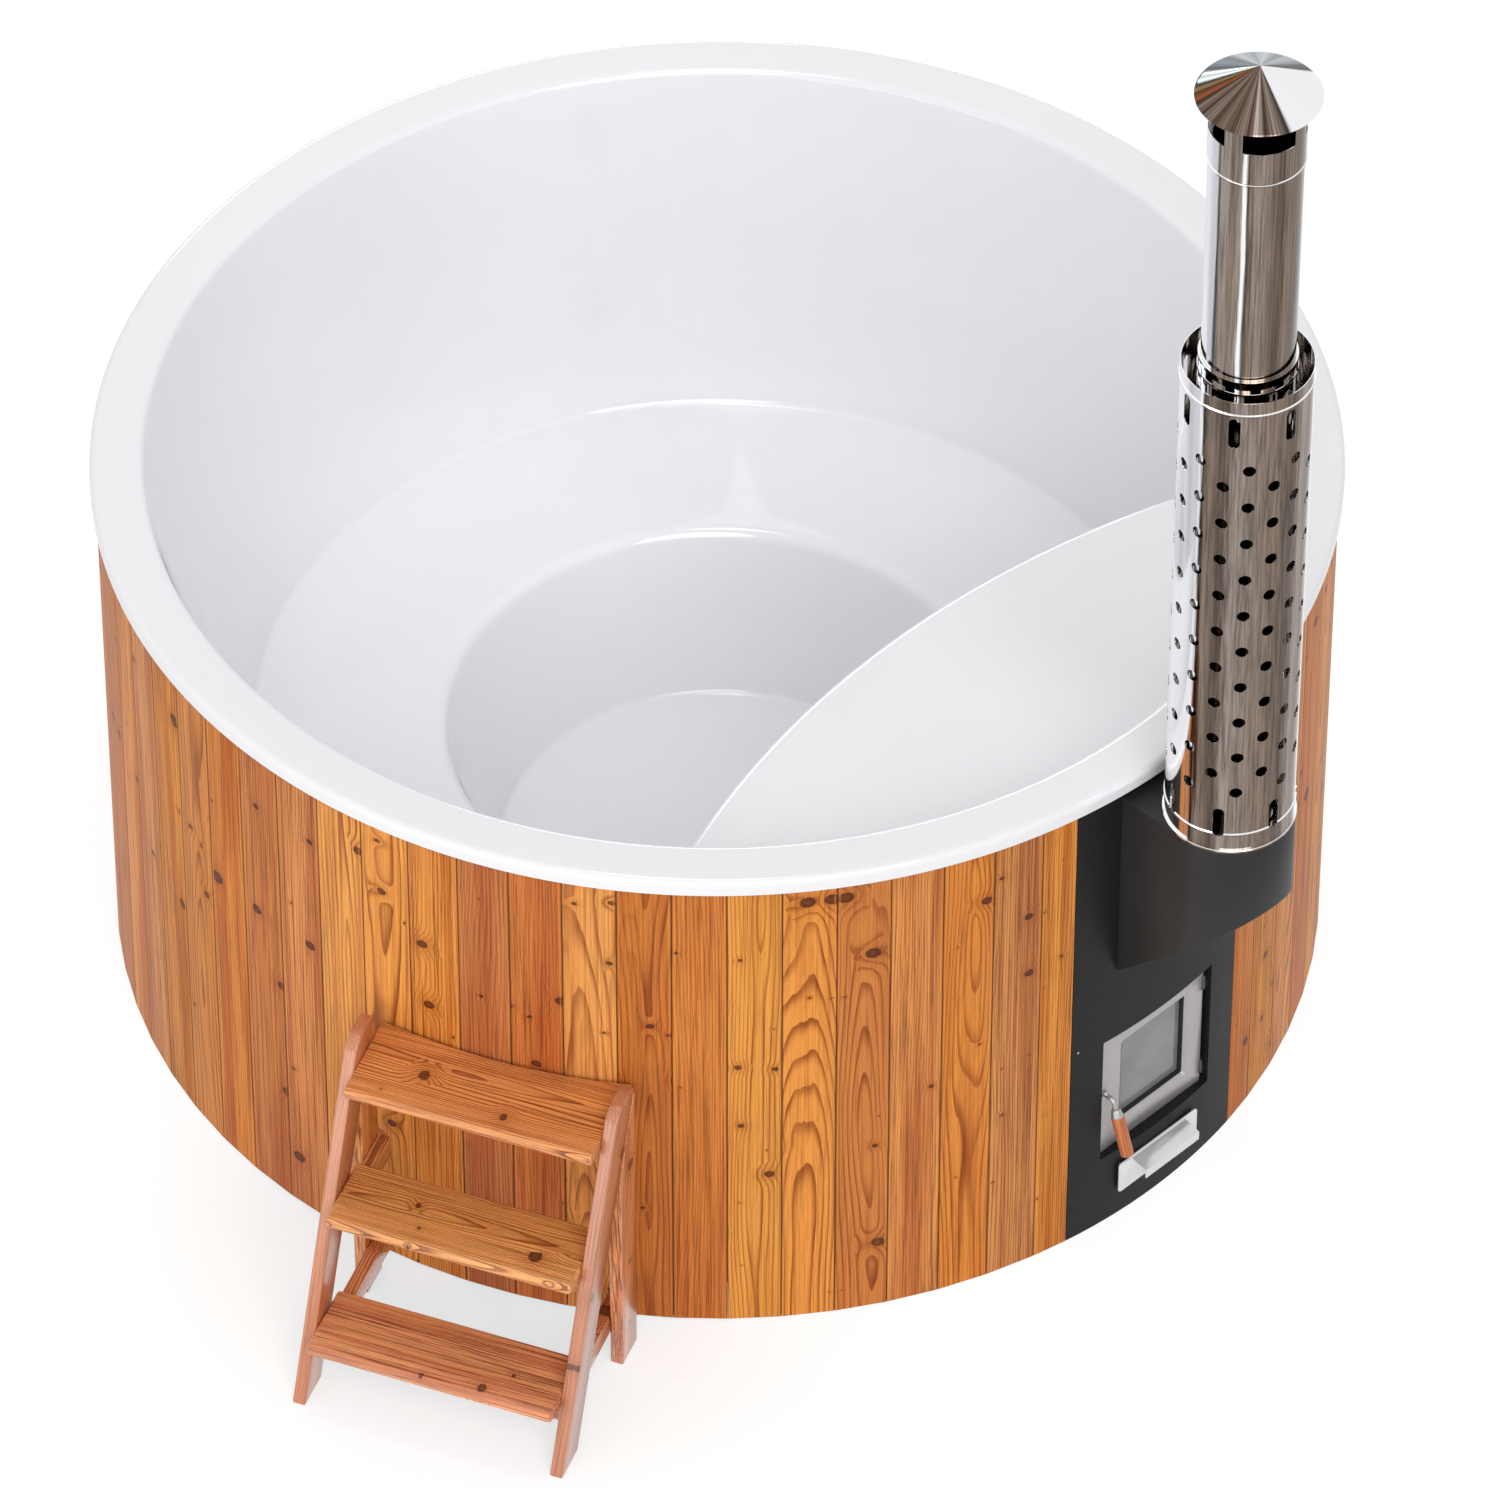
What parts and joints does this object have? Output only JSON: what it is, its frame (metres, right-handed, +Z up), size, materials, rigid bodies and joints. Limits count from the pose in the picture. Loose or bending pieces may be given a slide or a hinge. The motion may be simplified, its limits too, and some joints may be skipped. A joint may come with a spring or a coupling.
{
  "type": "wood-fired hot tub",
  "caption": "Round hot tub with a moulded bench shell in vertical wood staves, an inset wood stove behind a black panel, an outside flue and a step ladder.",
  "frame": {"origin": "on the tub's vertical axis at the ground, on the underside of the middle floor joist", "axes": "+Z up, -Y towards the stove's side, +X towards the drain outlet"},
  "size_m": [2.4093, 2.2214, 2.438],
  "materials": {
    "acrylic": "gloss",
    "cladding": "oiled, semi-matt",
    "ladder_wood": "oiled, satin",
    "frame_timber": "sawn, untreated",
    "black_steel": "satin heat-proof paint",
    "brushed_steel": "brushed",
    "mirror_steel": "mirror polished",
    "cast_iron": "rough, sooty",
    "jacket_steel": "welded sheet, matt",
    "rope_seal": "braided glass rope",
    "black_seal": "matt",
    "stove_glass": "clear, lightly smoked",
    "grip_wood": "turned and oiled",
    "drain_plastic": "smooth",
    "valve_brass": "cast",
    "valve_red": "dipped, gloss"
  },
  "bodies": {
    "tub": {"acrylic_shell": "acrylic", "staves_front_right": "cladding", "staves_right": "cladding", "staves_back_right": "cladding", "staves_back_left": "cladding", "staves_left": "cladding", "staves_front_left": "cladding", "upper_ring": "frame_timber", "middle_ring": "frame_timber", "lower_ring": "frame_timber", "base_board": "frame_timber", "base_joists": "frame_timber", "drain_strainer": "brushed_steel", "drain_pipe": "drain_plastic", "drain_valve_body": "valve_brass", "stove_panel": "black_steel", "panel_screw": "brushed_steel", "door_surround": "black_steel", "latch_keeper": "brushed_steel", "jamb_hinge_knuckles": "brushed_steel", "hinge_pins": "brushed_steel", "stove_front_plate": "cast_iron", "stove_jacket": "jacket_steel", "firebox_liner": "cast_iron", "fire_grate": "cast_iron", "smoke_baffle": "cast_iron", "stove_feet": "cast_iron", "water_port_upper": "jacket_steel", "water_port_lower": "jacket_steel", "port_grilles": "brushed_steel", "chimney_housing": "black_steel", "flue_elbow": "jacket_steel", "flue_pipe": "mirror_steel", "sleeve_base_ring": "mirror_steel", "chimney_sleeve": "mirror_steel", "flue_vent_collar": "mirror_steel"},
    "stove_door": {"door_frame": "brushed_steel", "door_glass": "stove_glass", "glass_seal": "black_seal", "glass_retainer": "brushed_steel", "door_seal": "rope_seal", "door_hinge_knuckles": "brushed_steel"},
    "door_handle": {"handle_rod": "brushed_steel", "handle_ferrule": "brushed_steel", "handle_grip": "grip_wood", "latch_tongue": "brushed_steel"},
    "ash_drawer": {"ash_tray": "brushed_steel", "ash_drawer_front": "brushed_steel"},
    "drain_lever": {"drain_valve_lever": "valve_red", "drain_valve_ball": "brushed_steel"},
    "ladder": {"ladder_left_stringer": "ladder_wood", "ladder_right_stringer": "ladder_wood", "ladder_rear_legs": "ladder_wood", "ladder_bottom_tread": "ladder_wood", "ladder_middle_tread": "ladder_wood", "ladder_top_tread": "ladder_wood", "ladder_cleats": "ladder_wood"},
    "chimney_cap": {"cap_collar": "mirror_steel", "cap_cone": "mirror_steel"}
  },
  "joints": [
    {"name": "stove_door_hinge", "type": "hinge", "parent": "tub", "child": "stove_door", "pos_m": [0.1195, -0.972, 0.275], "axis": [0, 0, 1], "range_deg": [0, 95]},
    {"name": "door_handle_turn", "type": "hinge", "parent": "stove_door", "child": "door_handle", "pos_m": [-0.108, -0.975, 0.28], "axis": [0, -1, 0], "range_deg": [0, 90]},
    {"name": "ash_drawer_slide", "type": "slide", "parent": "tub", "child": "ash_drawer", "axis": [0, -1, 0], "range_m": [0, 0.25]},
    {"name": "drain_lever_turn", "type": "hinge", "parent": "tub", "child": "drain_lever", "pos_m": [1.041, -0.18999, 0.073], "axis": [0, 0, 1], "range_deg": [-90, 0]},
    {"name": "ladder_lift", "type": "slide", "parent": "tub", "child": "ladder", "axis": [0, 0, 1], "range_m": [0, 0.3]},
    {"name": "chimney_cap_lift", "type": "slide", "parent": "tub", "child": "chimney_cap", "axis": [0, 0, 1], "range_m": [0, 0.15]}
  ]
}
